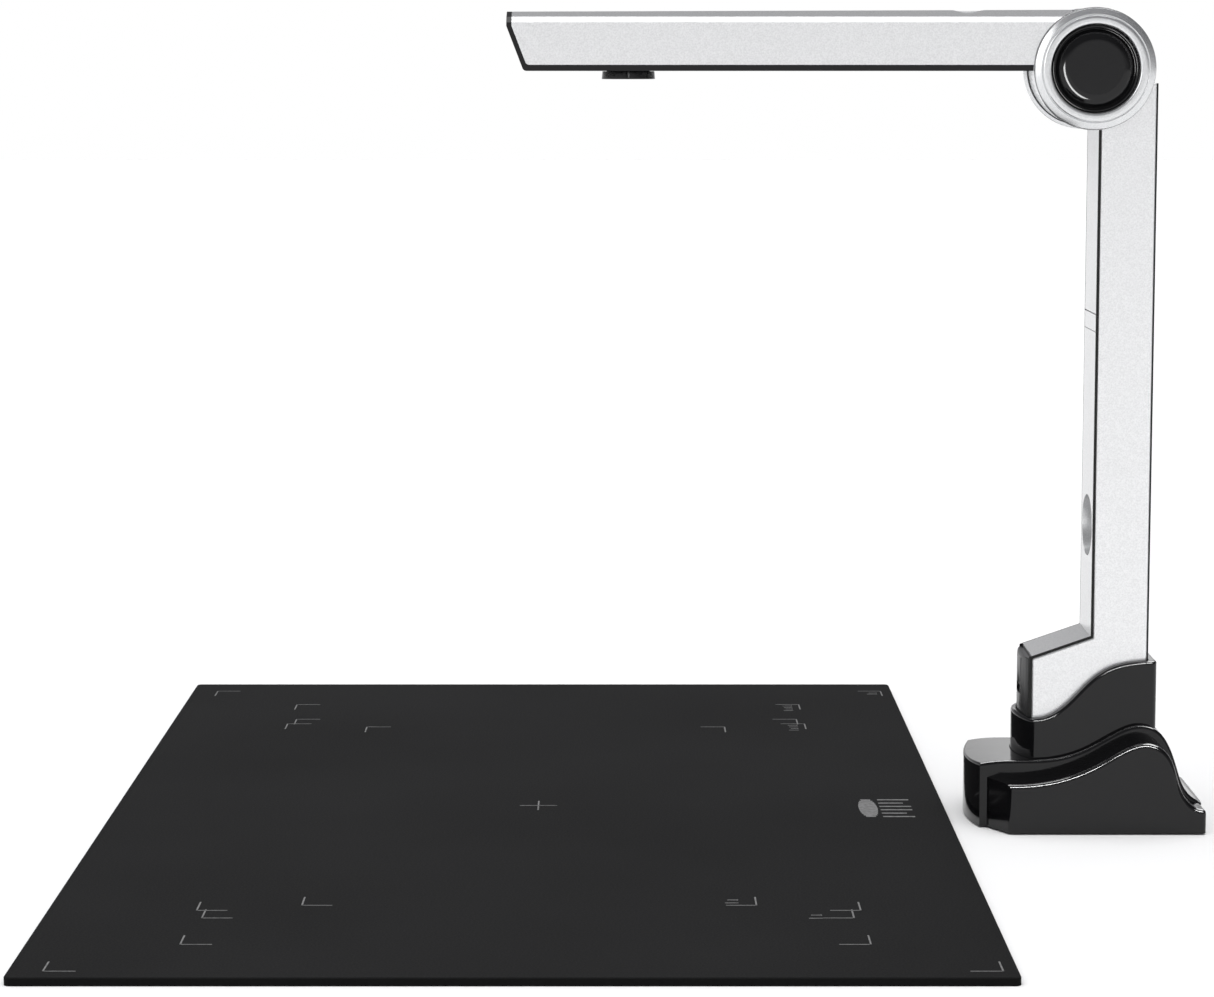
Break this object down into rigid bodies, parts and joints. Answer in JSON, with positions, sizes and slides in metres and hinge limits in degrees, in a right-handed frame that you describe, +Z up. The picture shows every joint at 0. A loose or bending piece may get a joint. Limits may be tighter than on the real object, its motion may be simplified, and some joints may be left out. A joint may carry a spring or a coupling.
{
  "type": "document camera",
  "caption": "Desktop document camera: folding overhead arm on an upright post that plugs into a weighted base, with a loose black alignment mat.",
  "frame": {"origin": "centre of the base pad's underside, on the desk", "axes": "+Z up; the arm reaches towards -X over the mat; -Y is the front, where the user sits; the hinge axis runs along Y"},
  "size_m": [0.3911, 0.4287, 0.2916],
  "materials": {
    "silver_paint": "silver metallic paint, satin",
    "black_gloss": "gloss",
    "black_frame": "satin",
    "foot_face": "satin",
    "steel": "satin",
    "bush_bronze": "satin",
    "friction_pad": "matte",
    "ballast_iron": "rough",
    "pad_rubber": "matte",
    "board_green": "satin",
    "lens_glass": "coated",
    "light_lens": "frosted",
    "led_white": "gloss",
    "mat_vinyl": "matte, fine grain"
  },
  "bodies": {
    "base": {"base_body": "black_gloss", "front_cheek": "black_gloss", "rear_cheek": "black_gloss", "socket_collar": "black_gloss", "base_ballast": "ballast_iron", "base_bottom_plate": "black_frame", "base_pad": "pad_rubber", "base_screws": "steel"},
    "post": {"post_chassis": "black_frame", "post_front_cover": "silver_paint", "post_rear_cover": "silver_paint", "inner_trim_upper": "silver_paint", "trim_bridge": "silver_paint", "inner_trim_lower": "silver_paint", "foot_cover": "foot_face", "usb_jack": "steel", "main_board": "board_green", "post_screws": "steel", "hinge_pin": "steel", "hinge_nut": "steel", "spring_washer": "steel", "front_friction_washer": "friction_pad", "rear_friction_washer": "friction_pad", "front_ring_cap": "silver_paint", "rear_ring_cap": "silver_paint", "front_dome": "black_gloss", "rear_dome": "black_gloss"},
    "arm": {"arm_shell": "silver_paint", "arm_lower_cover": "black_gloss", "hinge_barrel": "silver_paint", "front_bush": "bush_bronze", "rear_bush": "bush_bronze", "camera_board": "board_green", "image_sensor": "black_frame", "flex_cable": "black_frame", "led_board": "board_green", "leds": "led_white", "led_window": "light_lens", "arm_screws": "steel"},
    "light_button": {"light_button": "silver_paint"},
    "focus_ring": {"focus_ring": "black_gloss", "lens_barrel": "black_frame", "lens_glass": "lens_glass"},
    "mat": {"desk_mat": "mat_vinyl"}
  },
  "joints": [
    {"name": "arm_fold", "type": "hinge", "parent": "post", "child": "arm", "pos_m": [0, 0, 0.2701], "axis": [0, -1, 0], "range_deg": [0, 90]},
    {"name": "light_button_press", "type": "slide", "parent": "arm", "child": "light_button", "axis": [0, 0, -1], "range_m": [0, 0.0006], "stiffness_N_per_m": 300},
    {"name": "focus_turn", "type": "hinge", "parent": "arm", "child": "focus_ring", "pos_m": [-0.1635, 0, 0.2693], "axis": [0, 0, 1], "range_deg": [-40, 40]},
    {"name": "post_lift", "type": "slide", "parent": "base", "child": "post", "axis": [0, 0, 1], "range_m": [0, 0.04]},
    {"name": "mat_slide", "type": "slide", "parent": "base", "child": "mat", "axis": [-1, 0, 0], "range_m": [0, 0.08]}
  ]
}
